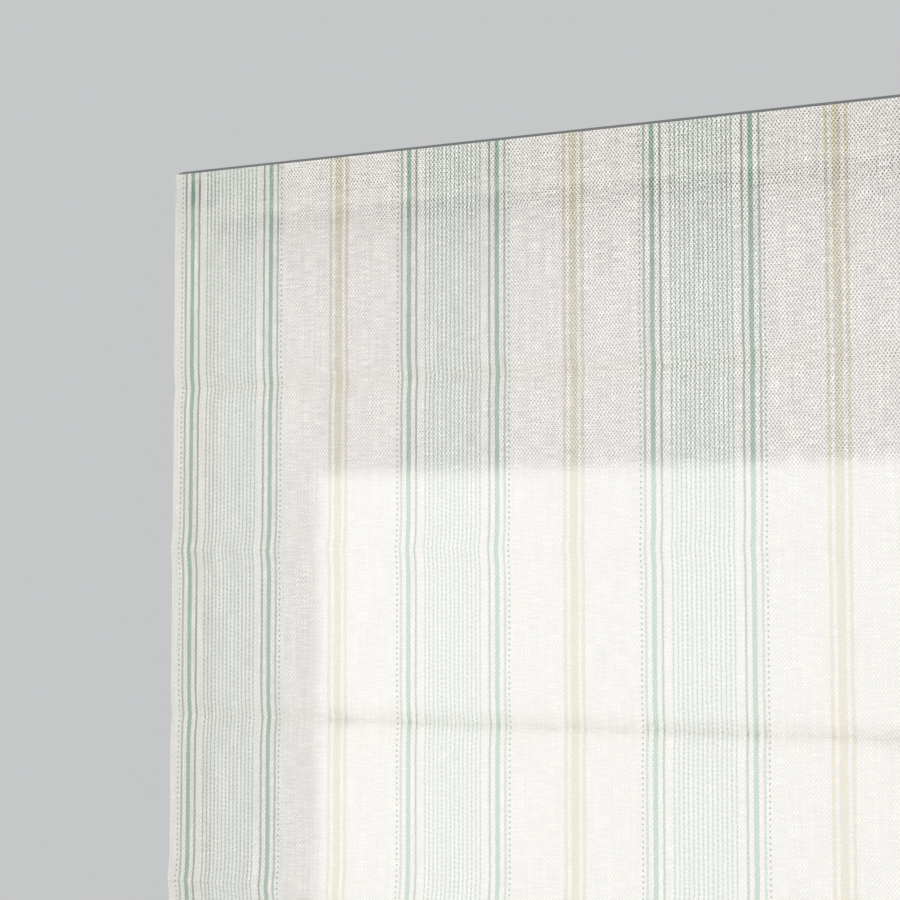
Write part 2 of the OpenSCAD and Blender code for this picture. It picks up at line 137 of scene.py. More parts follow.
class LinenSettings(bpy.types.PropertyGroup):
    """Cut, folds and woven stripes of the cloth."""
    thickness: length("Thickness", "Thickness of the folded cloth at its hems", 0.7)
    side_hem: length("Side hem", "Width of cloth folded to the back at each side", 28)
    top_turn: length("Top turn", "Height of cloth turned down behind the top edge", 20)
    heading_drop: length("Heading drop", "Height below the rail down to which the cloth stays still", 6)
    pocket_rise: length("Pocket rise", "Height of the bar pocket's seam above the foot", 38)
    pocket_depth: length("Pocket depth", "Depth of the bar pocket behind the cloth's front", 7.8)
    crease_in: length("Rod crease", "Depth of the crease at a rod, toward the back", 1.5)
    crease_out: length("Front crease", "Depth of the crease between rods, toward the front", 1.8)
    crease_reach: length("Crease reach", "Height above and below a fold in which its crease fades", 16)
    ripple: length("Ripple", "Height of the slow waves in the hanging cloth", 0.35)
    repeat: length("Repeat", "Width of one repeat of the stripes", 136)
    mirror_line: length("Mirror line", "First mirror line of the stripes, from the cloth's left edge", 37.4)
    fine_first: length("First fine line", "Distance of the first fine line from the mirror line", 1.21)
    fine_pitch: length("Fine pitch", "Spacing of the fine lines", 2.43)
    fine_width: length("Fine width", "Width of a fine line", 0.8)
    fine_zone: length("Fine zone", "Distance from the mirror line to which the fine lines go", 17)
    mint_place: length("Mint line", "Distance of the wide mint line from the mirror line", 25.5)
    mint_width: length("Mint width", "Width of the wide mint line", 2.5)
    mint_thin: length("Thin mint width", "Width of the thin lines beside the wide mint line", 1.15)
    mint_edging: length("Mint edging", "Distance of the thin lines from the wide mint line", 4.35)
    dot_place: length("Dotted line", "Distance of the dotted line from the mirror line", 32.2)
    dot_width: length("Dot width", "Width of a dot", 0.9)
    dot_height: length("Dot height", "Height of a dot", 1.0)
    dot_pitch: length("Dot pitch", "Spacing of the dots down the dotted line", 2.8)
    beige_width: length("Beige width", "Width of the wide beige line", 4.2)
    beige_thin: length("Thin beige width", "Width of the thin beige lines", 1.85)
    beige_edging: length("Beige edging", "Distance of the thin beige lines from the wide one", 4.95)
    ground: colour("Ground", "Unbleached white of the linen", "#f0ede8")
    fine_ground: colour("Fine ground", "Ground between the fine lines", "#eff0ea")
    fine_line: colour("Fine line", "Fine green lines", "#a5b9ac")
    mint_inner: colour("Inner mint", "Thin line on the fine lines' side of the wide one", "#a5bbab")
    mint_outer: colour("Outer mint", "Thin line on the other side of the wide one", "#bccbc0")
    dot: colour("Dots", "Dots of the dotted line", "#9aaca1")
    mint: colour("Mint", "Wide mint line", "#a6c8b3")
    beige: colour("Beige", "Beige lines", "#e4dcc6")
    # The felt's grey is partly painted shade on the heading and the side hems
    shading_felt: colour("Interlining", "Felt between the layers of the hems and of the heading", "#a8a8aa")
    interlining_body: share("Interlining body", "Share of light that the felt stops", 0.35)
    through: colour("Through light", "Colour of light that comes through the cloth", "#f3f4f2")
    see_through: share("Translucency", "Share of light that the undyed yarns let through", 0.25)


class HardwareSettings(bpy.types.PropertyGroup):
    """Finishes of the rail, the lift gear, the rods and the cords."""
    alloy: colour("Anodised aluminium", "Grey anodised rail and bottom bar", "#a2a4a5")
    zinc: colour("Zinc-plated steel", "Brackets, shaft and screws", "#b4b8bb")
    white_nylon: colour("White nylon", "Spools, cradles, motor cover, eyelets and anchors", "#e4e2dc")
    grey_nylon: colour("Grey nylon", "End caps of rail and bar, and motor case", "#8b8e90")
    glass_fibre: colour("Glass fibre", "Pultruded rods", "#dcd8c4")
    tape: colour("Woven tape", "Rod pockets", "#e6e4de")
    touch_tape: colour("Touch tape", "Hook and loop tape", "#b0aea9")
    cord: colour("Braided cord", "Lift cords and sewing thread", "#e9e7e1")
    rod_body: share("Rod body", "Share of light that a rod's surface stops", 0.18)
    clip_body: share("Clip body", "Share of light that an eyelet's surface stops", 0.1)
    tape_body: share("Tape body", "Share of light that a pocket tape's surface stops", 0.06)


class StageSettings(bpy.types.PropertyGroup):
    """Camera, backdrop and light."""
    lens: bpy.props.FloatProperty(
        name="Lens", description="Focal length on a 36 mm sensor", default=78.87, unit="CAMERA")
    camera_place: bpy.props.FloatVectorProperty(
        name="Camera place", description="Where the camera stands, from the cloth's top left corner",
        default=(0.6203, -0.9187, -0.2287), subtype="TRANSLATION", size=3)
    camera_aim: bpy.props.FloatVectorProperty(
        name="Camera aim", description="Direction in which the camera looks", default=(-0.4376, 0.8967, 0.0668),
        subtype="DIRECTION", size=3)
    floor_gap: length("Floor gap", "Height of the blind's foot above the floor", 120)
    floor_size: length("Floor size", "Side of the floor", 6000)
    backdrop: colour("Backdrop", "Pale grey behind the blind", "#c6c7c8")
    floor: colour("Floor", "Plain pale floor", "#d2d1ce")
    ambient: bpy.props.FloatProperty(
        name="Ambient", description="Strength of the light from all round", default=0.33, min=0)
    key_power: bpy.props.FloatProperty(
        name="Key light", description="Power of the soft light in front, in watts", default=71, min=0)
    key_place: bpy.props.FloatVectorProperty(
        name="Key place", description="Where the key light stands, from the middle of the cloth",
        default=(-0.7, -2.5, 0.9), subtype="TRANSLATION", size=3)
    key_size: length("Key size", "Side of the key light", 2200)
    back_power: bpy.props.FloatProperty(
        name="Back light", description="Power of the soft light behind the cloth, in watts", default=1.02, min=0)
    back_inset: length("Back light inset", "Distance of the back light from the cloth's sides", 94)
    back_drop: length("Back light drop", "Distance of the back light below the cloth's top", 171)
    back_rise: length("Back light rise", "Distance of the back light above the cloth's foot", 40)
    back_depth: length("Back light depth", "Distance of the back light behind the cloth", 9)
    back_spread: bpy.props.FloatProperty(
        name="Back light spread", description="Angle in which the back light shines", default=math.radians(80),
        subtype="ANGLE")


def add(tree, kind, inputs=(), **settings):
    """Adds one node, sets its properties, and fills or links its inputs."""
    made = tree.nodes.new("ShaderNode" + kind)
    for name, value in settings.items():
        setattr(made, name, value)
    for key, value in dict(inputs).items():
        if isinstance(value, bpy.types.NodeSocket):
            tree.links.new(value, made.inputs[key])
        else:
            made.inputs[key].default_value = value
    return made


def new_material(name):
    """An empty node material and its output's surface socket."""
    material = bpy.data.materials.new(name)
    material.use_nodes = True
    material.node_tree.nodes.clear()
    output = add(material.node_tree, "OutputMaterial")
    return material, material.node_tree, output.inputs["Surface"]


def spread_noise(tree, place, sizes_mm, low, high, detail=2.0):
    """Noise with grains of the given sizes along its axes, spread over the range from low to high."""
    steps = [1 / (size * MM) for size in sizes_mm]
    scaled = add(tree, "VectorMath", {0: place, 1: steps}, operation="MULTIPLY").outputs[0]
    grain = add(tree, "TexNoise", {"Vector": scaled, "Scale": 1.0, "Detail": detail}).outputs[0]
    return add(tree, "MapRange", {0: grain, 1: 0.3, 2: 0.7, 3: low, 4: high}).outputs[0]


def line_edges(width, soft):
    """Settings of a range that is 1 on a line of the given width and falls to 0 over soft at its edges."""
    return {1: width / 2 - soft / 2, 2: width / 2 + soft / 2, 3: 1.0, 4: 0.0}


def stripe_stops(cloth):
    """Stops of the solid stripes from the mirror line to half a repeat: distance, colour and share of dyed yarn."""
    soft = 0.3 * MM
    full_dye, pale_dye = 1, 0.4
    half = cloth.repeat / 2
    lines = [
        (cloth.mint_place - cloth.mint_edging, cloth.mint_thin, cloth.mint_inner, full_dye),
        (cloth.mint_place, cloth.mint_width, cloth.mint, full_dye),
        (cloth.mint_place + cloth.mint_edging, cloth.mint_thin, cloth.mint_outer, full_dye),
        (half - cloth.beige_edging, cloth.beige_thin, cloth.beige, pale_dye),
        (half, cloth.beige_width, cloth.beige, pale_dye),
    ]
    zone = cloth.fine_zone
    stops = [(0, cloth.fine_ground, 0), (zone, cloth.fine_ground, 0), (zone + MM, cloth.ground, 0)]
    for middle, width, shade, dyed in lines:
        outer, inner = (width + soft) / 2, (width - soft) / 2
        stops += [(middle - outer, cloth.ground, 0), (middle - inner, shade, dyed)]
        if middle < half:
            stops += [(middle + inner, shade, dyed), (middle + outer, cloth.ground, 0)]
    return stops


def striped_linen(cloth):
    """Linen, plain-woven from uneven yarns, with dyed warp stripes: matt, flecked with small gaps between the yarns
    that let more light through and are darkened with painted shade, a little brighter where a thick yarn runs, with a
    painted highlight on the crowns of the yarns, and glowing where light comes from behind."""
    # Spacing of the gaps across and down, and soft edges of the drawn lines and of the dots
    gap_across, gap_down = 1.85 * MM, 1.2 * MM
    line_soft, dot_soft = 0.5 * MM, 0.6 * MM
    # How much more light thin places and dyed yarns let through
    thin_glow, dye_glow = 1.2, 0.23
    material, tree, surface = new_material("striped_linen")
    cut = add(tree, "UVMap", uv_map=CUT_MAP).outputs[0]
    across, down, _ = add(tree, "SeparateXYZ", {0: cut}).outputs
    half = cloth.repeat / 2
    from_mirror = add(tree, "Math", {0: across, 1: cloth.mirror_line}, operation="SUBTRACT").outputs[0]
    waver = spread_noise(tree, cut, (6, 4, 1), -0.15 * MM, 0.15 * MM)
    wavering = add(tree, "Math", {0: from_mirror, 1: waver}, operation="ADD").outputs[0]
    place = add(tree, "Math", {0: wavering, 1: half}, operation="PINGPONG").outputs[0]

    ramp_place = add(tree, "Math", {0: place, 1: 1 / half}, operation="MULTIPLY").outputs[0]
    ramp = add(tree, "ValToRGB", {0: ramp_place})
    stops = stripe_stops(cloth)
    elements = ramp.color_ramp.elements
    for _ in range(len(stops) - len(elements)):
        elements.new(1)
    for element, (distance, shade, dyed) in zip(elements, stops):
        element.position = distance / half
        element.color = (*shade, dyed)

    # Yarn by yarn unevenness, and the gaps between yarns in a staggered grid
    drift = spread_noise(tree, cut, (11, 7, 1), -1.3, 1.3)
    turn_across = add(tree, "Math", {0: across, 1: math.tau / gap_across, 2: drift}, operation="MULTIPLY_ADD")
    turn_down = add(tree, "Math", {0: down, 1: math.pi / gap_down, 2: drift}, operation="MULTIPLY_ADD")
    wave_across = add(tree, "Math", {0: turn_across.outputs[0]}, operation="COSINE").outputs[0]
    wave_down = add(tree, "Math", {0: turn_down.outputs[0]}, operation="COSINE").outputs[0]
    lattice = add(tree, "Math", {0: wave_across, 1: wave_down}, operation="MULTIPLY").outputs[0]
    gap = add(tree, "MapRange", {0: lattice, 1: 0.0, 2: 1.0}, **SMOOTH).outputs[0]
    gap_size = spread_noise(tree, cut, (1.7, 1.7, 1), 0.25, 1.0)
    gap = add(tree, "Math", {0: gap, 1: gap_size}, operation="MULTIPLY").outputs[0]
    crown = add(tree, "MapRange", {0: lattice, 1: -0.1, 2: -0.9}, **SMOOTH).outputs[0]
    crown_size = spread_noise(tree, cut, (2.6, 1.3, 1), 0.1, 1.0)
    crown = add(tree, "Math", {0: crown, 1: crown_size}, operation="MULTIPLY").outputs[0]
    weft = spread_noise(tree, cut, (9, 0.8, 1), 0.91, 1.07)
    warp = spread_noise(tree, cut, (1.1, 40, 1), 0.95, 1.04)

    # Fine lines and the dotted line, broken where a weft yarn passes over them
    slip = spread_noise(tree, cut, (1.6, 14, 1), -3.0, 3.0)
    turn_line = add(tree, "Math", {0: turn_down.outputs[0], 1: slip}, operation="ADD").outputs[0]
    wave_line = add(tree, "Math", {0: turn_line}, operation="COSINE").outputs[0]
    passes = add(tree, "MapRange", {0: wave_line, 1: -1.0, 2: 1.0, 3: 0.4, 4: 1.0}).outputs[0]
    from_first = add(tree, "Math", {0: place, 1: cloth.fine_first}, operation="SUBTRACT").outputs[0]
    from_fine = add(tree, "Math", {0: from_first, 1: cloth.fine_pitch / 2}, operation="PINGPONG").outputs[0]
    in_zone = add(tree, "Math", {0: place, 1: cloth.fine_zone}, operation="LESS_THAN").outputs[0]
    on_fine = add(tree, "MapRange", {0: from_fine, **line_edges(cloth.fine_width, line_soft)}, **SMOOTH).outputs[0]
    fine = add(tree, "Math", {0: on_fine, 1: in_zone}, operation="MULTIPLY").outputs[0]
    fine = add(tree, "Math", {0: fine, 1: passes}, operation="MULTIPLY").outputs[0]
    with_fine = add(tree, "Mix", {0: fine, 6: ramp.outputs[0], 7: (*cloth.fine_line, 1)}, data_type="RGBA").outputs[2]
    from_dots = add(tree, "Math", {0: place, 1: cloth.dot_place}, operation="SUBTRACT").outputs[0]
    beside_dots = add(tree, "Math", {0: from_dots}, operation="ABSOLUTE").outputs[0]
    along_dots = add(tree, "Math", {0: down, 1: cloth.dot_pitch / 2}, operation="PINGPONG").outputs[0]
    on_line = add(tree, "MapRange", {0: beside_dots, **line_edges(cloth.dot_width, line_soft)}, **SMOOTH).outputs[0]
    on_dot = add(tree, "MapRange", {0: along_dots, **line_edges(cloth.dot_height, dot_soft)}, **SMOOTH).outputs[0]
    dots = add(tree, "Math", {0: on_line, 1: on_dot}, operation="MULTIPLY").outputs[0]
    dyed = add(tree, "Mix", {0: dots, 6: with_fine, 7: (*cloth.dot, 1)}, data_type="RGBA").outputs[2]

    # Undyed yarns cross over the dyed ones, thick yarns are brighter, crowns get a painted highlight, gaps painted
    # shade
    shown = add(tree, "Math", {0: crown, 1: 0.45}, operation="MULTIPLY").outputs[0]
    crossed = add(tree, "Mix", {0: shown, 6: dyed, 7: (*cloth.ground, 1)}, data_type="RGBA").outputs[2]
    # Painted highlight on the crowns of the yarns, lifting the base colour there
    high = add(tree, "Math", {0: crown, 1: 0.12, 2: 0.98}, operation="MULTIPLY_ADD").outputs[0]
    yarns_and_highlight = add(tree, "Math", {0: weft, 1: warp}, operation="MULTIPLY").outputs[0]
    yarns_and_highlight = add(tree, "Math", {0: yarns_and_highlight, 1: high}, operation="MULTIPLY").outputs[0]
    # Painted shade in the gaps between the yarns; the same value sets the bump and how much light passes
    yarns_highlight_and_shade = add(tree, "Math", {0: gap, 1: -0.75, 2: yarns_and_highlight}, operation="MULTIPLY_ADD").outputs[0]
    base = add(tree, "Mix", {0: 1.0, 6: crossed, 7: yarns_highlight_and_shade}, **SHADED).outputs[2]
    bump = add(tree, "Bump", {"Strength": 0.35, "Distance": 0.25 * MM, "Height": yarns_highlight_and_shade})
    matt = add(tree, "BsdfPrincipled", {
        "Base Color": base, "Roughness": 0.9, "Specular IOR Level": 0.2, "Sheen Weight": 0.1,
        "Normal": bump.outputs[0]})
    # Gaps and thin or dyed yarns send back less light and let more through
    tinted = add(tree, "Mix", {0: 0.25, 6: (*cloth.through, 1), 7: dyed}, data_type="RGBA").outputs[2]
    glow = add(tree, "BsdfTranslucent", {0: tinted})
    dyed_yarn = add(tree, "Math", {0: ramp.outputs["Alpha"], 1: fine}, operation="MAXIMUM").outputs[0]
    most = thin_glow + cloth.see_through
    lets = add(tree, "Math", {0: dyed_yarn, 1: dye_glow, 2: most}, operation="MULTIPLY_ADD").outputs[0]
    lets = add(tree, "Math", {0: yarns_highlight_and_shade, 1: -thin_glow, 2: lets}, operation="MULTIPLY_ADD").outputs[0]
    mix = add(tree, "MixShader", {0: lets, 1: matt.outputs[0], 2: glow.outputs[0]})
    tree.links.new(mix.outputs[0], surface)
    return material


def shading_felt(cloth):
    """Polyester felt, needled and ironed between the layers of a hem: dull grey, with fibres tangled in clumps of
    about 2 mm. It evens out the light, so that no hem shows through the cloth. Its grey is also painted shade, which
    darkens the heading and the side hems."""
    material, tree, surface = new_material("shading_felt")
    cut = add(tree, "UVMap", uv_map=CUT_MAP).outputs[0]
    clumps = spread_noise(tree, cut, (2, 2, 1), 0.92, 1.06)
    base = add(tree, "Mix", {0: 1.0, 6: (*cloth.shading_felt, 1), 7: clumps}, **SHADED).outputs[2]
    bump = add(tree, "Bump", {"Strength": 0.4, "Distance": 0.2 * MM, "Height": clumps})
    shader = add(tree, "BsdfPrincipled", {
        "Base Color": base, "Roughness": 0.95, "Alpha": cloth.interlining_body, "Normal": bump.outputs[0]})
    tree.links.new(shader.outputs[0], surface)
    return material


def metal(name, shade, grain_mm, low, high, cell_mm=None):
    """A metal whose roughness runs from low to high over its grain, with soft patches where it is plated."""
    material, tree, surface = new_material(name)
    place = add(tree, "TexCoord").outputs["Object"]
    rough = spread_noise(tree, place, grain_mm, low, high, 4.0)
    base = (*shade, 1)
    if cell_mm:
        cells = add(tree, "TexVoronoi", {"Vector": place, "Scale": 1 / (cell_mm * MM)})
        tint = add(tree, "MapRange", {0: cells.outputs["Color"], 3: 0.86, 4: 1.06}).outputs[0]
        base = add(tree, "Mix", {0: 1.0, 6: base, 7: tint}, **SHADED).outputs[2]
    bump = add(tree, "Bump", {"Strength": 0.15, "Distance": 0.05 * MM, "Height": rough})
    shader = add(tree, "BsdfPrincipled", {
        "Base Color": base, "Metallic": 1.0, "Roughness": rough, "Normal": bump.outputs[0]})
    tree.links.new(shader.outputs[0], surface)
    return material


def anodised_aluminium(hardware):
    """Aluminium, extruded and grey anodised: satin, with faint die lines along the rail. The lines are drawn
    about 0.6 mm apart, coarser than the real ones, so that they show."""
    return metal("anodised_aluminium", hardware.alloy, (90, 0.6, 0.6), 0.36, 0.52)


def zinc_plated_steel(hardware):
    """Steel, pressed and zinc plated: bright grey, with soft patches of about 5 mm."""
    return metal("zinc_plated_steel", hardware.zinc, (3, 3, 3), 0.28, 0.44, 5)


def moulded_nylon(name, shade, body=1.0):
    """Nylon 6, injection moulded in a spark-eroded mould: a soft gloss broken by a fine even grain of 0.5 mm. With a
    body under 1 it is unfilled nylon, which lets the rest of the light pass."""
    material, tree, surface = new_material(name)
    place = add(tree, "TexCoord").outputs["Object"]
    grain = spread_noise(tree, place, (0.5, 0.5, 0.5), 0.0, 1.0)
    rough = spread_noise(tree, place, (9, 9, 9), 0.4, 0.52)
    cloud = spread_noise(tree, place, (24, 24, 24), 0.96, 1.02)
    base = add(tree, "Mix", {0: 1.0, 6: (*shade, 1), 7: cloud}, **SHADED).outputs[2]
    bump = add(tree, "Bump", {"Strength": 0.12, "Distance": 0.06 * MM, "Height": grain})
    shader = add(tree, "BsdfPrincipled", {
        "Base Color": base, "Roughness": rough, "IOR": 1.53, "Subsurface Weight": 0.08, "Subsurface Scale": MM,
        "Alpha": body, "Normal": bump.outputs[0]})
    tree.links.new(shader.outputs[0], surface)
    return material


def white_nylon(hardware):
    """Nylon coloured white, for the spools, the cradles, the motor's cover and collar, and the anchors."""
    return moulded_nylon("white_nylon", hardware.white_nylon)


def grey_nylon(hardware):
    """Nylon coloured grey, for the end caps and the motor's case."""
    return moulded_nylon("grey_nylon", hardware.grey_nylon)


def clear_nylon(hardware):
    """Unfilled nylon, half clear, for the eyelets."""
    return moulded_nylon("clear_nylon", hardware.white_nylon, hardware.clip_body)


def pultruded_glass_fibre(hardware):
    """Glass fibre in clear polyester resin, pultruded: creamy, glossy and half clear, so that its shadow stays faint,
    with fibres that streak along the rod."""
    material, tree, surface = new_material("pultruded_glass_fibre")
    place = add(tree, "TexCoord").outputs["Object"]
    fibres = spread_noise(tree, place, (60, 0.35, 0.35), 0.86, 1.05, 3.0)
    base = add(tree, "Mix", {0: 1.0, 6: (*hardware.glass_fibre, 1), 7: fibres}, **SHADED).outputs[2]
    bump = add(tree, "Bump", {"Strength": 0.2, "Distance": 0.05 * MM, "Height": fibres})
    shader = add(tree, "BsdfPrincipled", {
        "Base Color": base, "Roughness": 0.32, "IOR": 1.55, "Alpha": hardware.rod_body, "Normal": bump.outputs[0]})
    tree.links.new(shader.outputs[0], surface)
    return material


def woven_tape(hardware):
    """Polyester tape, narrow-woven sheer in a herringbone: a matt white veil that casts hardly any shadow, with ribs
    drawn 0.9 mm apart so that they show, and painted shade that darkens the grooves between the ribs."""
    material, tree, surface = new_material("woven_tape")
    place = add(tree, "TexCoord").outputs["Object"]
    along, _, up = add(tree, "SeparateXYZ", {0: place}).outputs
    zigzag = add(tree, "Math", {0: up, 1: 3 * MM}, operation="PINGPONG").outputs[0]
    slant = add(tree, "Math", {0: along, 1: zigzag}, operation="ADD").outputs[0]
    rib = add(tree, "Math", {0: slant, 1: 0.45 * MM}, operation="PINGPONG").outputs[0]
    # Painted shade: the base colour is darker in the grooves between the ribs; the same values make the bump
    height = add(tree, "MapRange", {0: rib, 1: 0.0, 2: 0.45 * MM, 3: 0.86, 4: 1.03}).outputs[0]
    yarns = spread_noise(tree, place, (1.2, 1.2, 1.2), 0.95, 1.03)
    rib_shade_and_yarns = add(tree, "Math", {0: height, 1: yarns}, operation="MULTIPLY").outputs[0]
    base = add(tree, "Mix", {0: 1.0, 6: (*hardware.tape, 1), 7: rib_shade_and_yarns}, **SHADED).outputs[2]
    bump = add(tree, "Bump", {"Strength": 0.4, "Distance": 0.2 * MM, "Height": rib_shade_and_yarns})
    shader = add(tree, "BsdfPrincipled", {
        "Base Color": base, "Roughness": 0.8, "Specular IOR Level": 0.25, "Alpha": hardware.tape_body,
        "Normal": bump.outputs[0]})
    tree.links.new(shader.outputs[0], surface)
    return material


def touch_tape(hardware):
    """Hook and loop tape in knitted nylon: a dull pile of tangled loops about 1 mm across, with painted shade
    between the loops.
    """
    material, tree, surface = new_material("touch_tape")
    place = add(tree, "TexCoord").outputs["Object"]
    loops = add(tree, "TexVoronoi", {"Vector": place, "Scale": 1 / MM})
    # Painted shade: the base colour is darker between the loops; the same values make the bump
    pile_and_shade = add(tree, "MapRange", {0: loops.outputs["Distance"], 1: 0.0, 2: 0.8, 3: 1.04, 4: 0.72}).outputs[0]
    base = add(tree, "Mix", {0: 1.0, 6: (*hardware.touch_tape, 1), 7: pile_and_shade}, **SHADED).outputs[2]
    bump = add(tree, "Bump", {"Strength": 0.7, "Distance": 0.5 * MM, "Height": pile_and_shade})
    shader = add(tree, "BsdfPrincipled", {
        "Base Color": base, "Roughness": 0.95, "Sheen Weight": 0.3, "Normal": bump.outputs[0]})
    tree.links.new(shader.outputs[0], surface)
    return material


def braided_cord(hardware):
    """Polyester, braided from sixteen ends: satin white, with crossing plaits drawn 1.2 mm long so that they show and
    painted shade in the grooves between them.
    """
    material, tree, surface = new_material("braided_cord")
    plait = add(tree, "UVMap", uv_map=BRAID_MAP).outputs[0]
    around, along, _ = add(tree, "SeparateXYZ", {0: plait}).outputs
    left = add(tree, "Math", {0: along, 1: around}, operation="ADD").outputs[0]
    right = add(tree, "Math", {0: along, 1: around}, operation="SUBTRACT").outputs[0]
    over = add(tree, "Math", {0: left, 1: 0.5}, operation="PINGPONG").outputs[0]
    under = add(tree, "Math", {0: right, 1: 0.5}, operation="PINGPONG").outputs[0]
    height = add(tree, "Math", {0: over, 1: under}, operation="MAXIMUM").outputs[0]
    # Painted shade: the base colour is darker in the grooves between the plaits
    shade = add(tree, "MapRange", {0: height, 1: 0.1, 2: 0.5, 3: 0.72, 4: 1.02}).outputs[0]
    base = add(tree, "Mix", {0: 1.0, 6: (*hardware.cord, 1), 7: shade}, **SHADED).outputs[2]
    bump = add(tree, "Bump", {"Strength": 0.6, "Distance": 0.15 * MM, "Height": height})
    shader = add(tree, "BsdfPrincipled", {
        "Base Color": base, "Roughness": 0.6, "Sheen Weight": 0.15, "Normal": bump.outputs[0]})
    tree.links.new(shader.outputs[0], surface)
    return material


def material_once(make, settings):
    """The material that a function makes and that bears its name, made the first time that it is asked for."""
    return bpy.data.materials.get(make.__name__) or make(settings)


def finish(nodes, material):
    """Gives CAD nodes their procedural material."""
    for name in nodes:
        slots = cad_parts[name].data.materials
        slots.clear()
        slots.append(material)


def mesh_piece(name, points, faces, maps, material, body):
    """A smooth mesh piece with one named coordinate map that rides on a body."""
    mesh = bpy.data.meshes.new(name)
    mesh.from_pydata(points, [], faces)
    map_name, places = maps
    layer = mesh.uv_layers.new(name=map_name)
    for loop in mesh.loops:
        layer.uv[loop.index].vector = places[loop.vertex_index]
    mesh.shade_smooth()
    mesh.materials.append(material)
    piece = bpy.data.objects.new(name, mesh)
    bpy.context.scene.collection.objects.link(piece)
    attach(piece, body)
    return piece


def spaced(first, last, step):
    """Even places from first to last, no further apart than step."""
    count = max(1, math.ceil(abs(last - first) / step))
    return [first + (last - first) * i / count for i in range(count + 1)]


def cloth_columns(cloth):
    """Across the cloth: (x, depth behind the row's line, place on the cut), from one folded hem to the other."""
    bend = cloth.thickness / 2
    left, right = CLOTH_LOW.x, CLOTH_HIGH.x
    turns = [math.pi * (i / 6 - 0.5) for i in range(1, 6)]
    hem = [(left + place, 2 * bend) for place in spaced(cloth.side_hem, bend, HEM_STEP)]
    fold = [(left + bend - bend * math.cos(a), bend - bend * math.sin(a)) for a in turns]
    flat = [(x, 0) for x in spaced(left + bend, right - bend, ACROSS_STEP)]
    half = hem + fold
    line = half + flat + [(left + right - x, depth) for x, depth in reversed(half)]
    places = [0]
    for (x0, d0), (x1, d1) in zip(line, line[1:]):
        places.append(places[-1] + math.hypot(x1 - x0, d1 - d0))
    edge = places[len(half)] - bend
    return [(x, depth, place - edge) for (x, depth), place in zip(line, places)]


def still_line(cloth):
    """Height down to which the heading hangs still while the rest is lifted."""
    return RAIL_LOW.z - cloth.heading_drop


def seam_line(cloth):
    """Height of the bar pocket's seam."""
    return CLOTH_LOW.z + cloth.pocket_rise


def crease(cloth, z):
    """How far the cloth's creases set it toward the back at a height."""
    shift = 0
    for heights, depth in ((ROD_Z, cloth.crease_in), (FOLD_Z, -cloth.crease_out)):
        for fold in heights:
            near = 1 - abs(z - fold) / cloth.crease_reach
            if near > 0:
                shift += depth * near ** 2
    return shift


def ripple(cloth, x, z):
    """Slow waves of the hanging cloth, still where it is held."""
    held = min(1, (still_line(cloth) - z) / HELD_REACH, (z - seam_line(cloth)) / HELD_REACH)
    if held <= 0:
        return 0
    waves = sum(height * math.sin(across * x + up * z + start) for height, across, up, start in RIPPLES)
    return cloth.ripple * held * waves / 2


def sheet_piece(name, cloth, rows, columns, material, body):
    """One stretch of the cloth. A row is (y, z, place down the cut, unit depth in y and z of its side hems)."""
    points, places = [], []
    for y, z, down, (deep_y, deep_z) in rows:
        for x, depth, across in columns:
            sway = ripple(cloth, x, z)
            points.append((x, y + sway + deep_y * depth, z + deep_z * depth))
            places.append((across, down))
    wide = len(columns)
    faces = [(r * wide + c, r * wide + c + 1, (r + 1) * wide + c + 1, (r + 1) * wide + c)
             for r in range(len(rows) - 1) for c in range(wide - 1)]
    return mesh_piece(name, points, faces, (CUT_MAP, places), material, body)


def path_rows(path, start, hem_depths):
    """Rows of a sheet along a path of (y, z) points, with places down the cut counted from start."""
    rows, down = [], start
    for i, (y, z) in enumerate(path):
        if i:
            down += math.hypot(y - path[i - 1][0], z - path[i - 1][1])
        before, after = path[max(i - 1, 0)], path[min(i + 1, len(path) - 1)]
        run = Vector((after[0] - before[0], after[1] - before[1])).normalized()
        rows.append((y, z, down, (-run.y * hem_depths[i], run.x * hem_depths[i])))
    return rows


def heading_rows(cloth):
    """Rows of the cloth from its turned-down end, over the top edge, to where the panel starts."""
    bend = cloth.thickness / 2
    top = CLOTH_HIGH.z
    turned = [(CLOTH_FRONT + 2 * bend, z) for z in spaced(top - cloth.top_turn, top - bend, END_STEP)]
    over = [(CLOTH_FRONT + bend + bend * math.cos(a), top - bend + bend * math.sin(a))
            for a in (math.pi * i / 6 for i in range(1, 6))]
    fall = [(CLOTH_FRONT, z) for z in spaced(top - bend, still_line(cloth), END_STEP)]
    depths = [0] * (len(turned) + len(over)) + [1] * len(fall)
    return path_rows(turned + over + fall, -cloth.top_turn, depths)


def panel_rows(cloth):
    """Rows of the hanging panel, closer together at its folds."""
    ends = still_line(cloth), seam_line(cloth)
    heights = set(spaced(*ends, DOWN_STEP))
    for fold in ROD_Z + FOLD_Z:
        heights = {z for z in heights if abs(z - fold) > cloth.crease_reach or z in ends}
        heights |= {fold + way * step * MM for step in FOLD_ROWS for way in (-1, 1)}
    return [(CLOTH_FRONT + crease(cloth, z), z, CLOTH_HIGH.z - z, (1, 0)) for z in sorted(heights, reverse=True)]


def pocket_rows(cloth):
    """Rows of the foot: down the front, round under the bar, up behind it and shut along the seam."""
    seam, foot = seam_line(cloth), CLOTH_LOW.z
    turn = cloth.pocket_depth / 2
    back, closed = CLOTH_FRONT + cloth.pocket_depth, CLOTH_FRONT + 2 * cloth.thickness
    down = [(CLOTH_FRONT, z) for z in spaced(seam, foot + turn, END_STEP)]
    under = [(CLOTH_FRONT + turn - turn * math.cos(a), foot + turn - turn * math.sin(a))
             for a in (math.pi * i / 12 for i in range(1, 12))]
    up = [(back, z) for z in spaced(foot + turn, foot + POCKET_STRAIGHT, END_STEP)]
    shut = [(closed, seam - SEAM_STRIP), (closed, seam)]
    path = down + under + up + shut
    return path_rows(path, CLOTH_HIGH.z - seam, [1] * (len(path) - len(shut)) + [SEAM_PRESS] * len(shut))


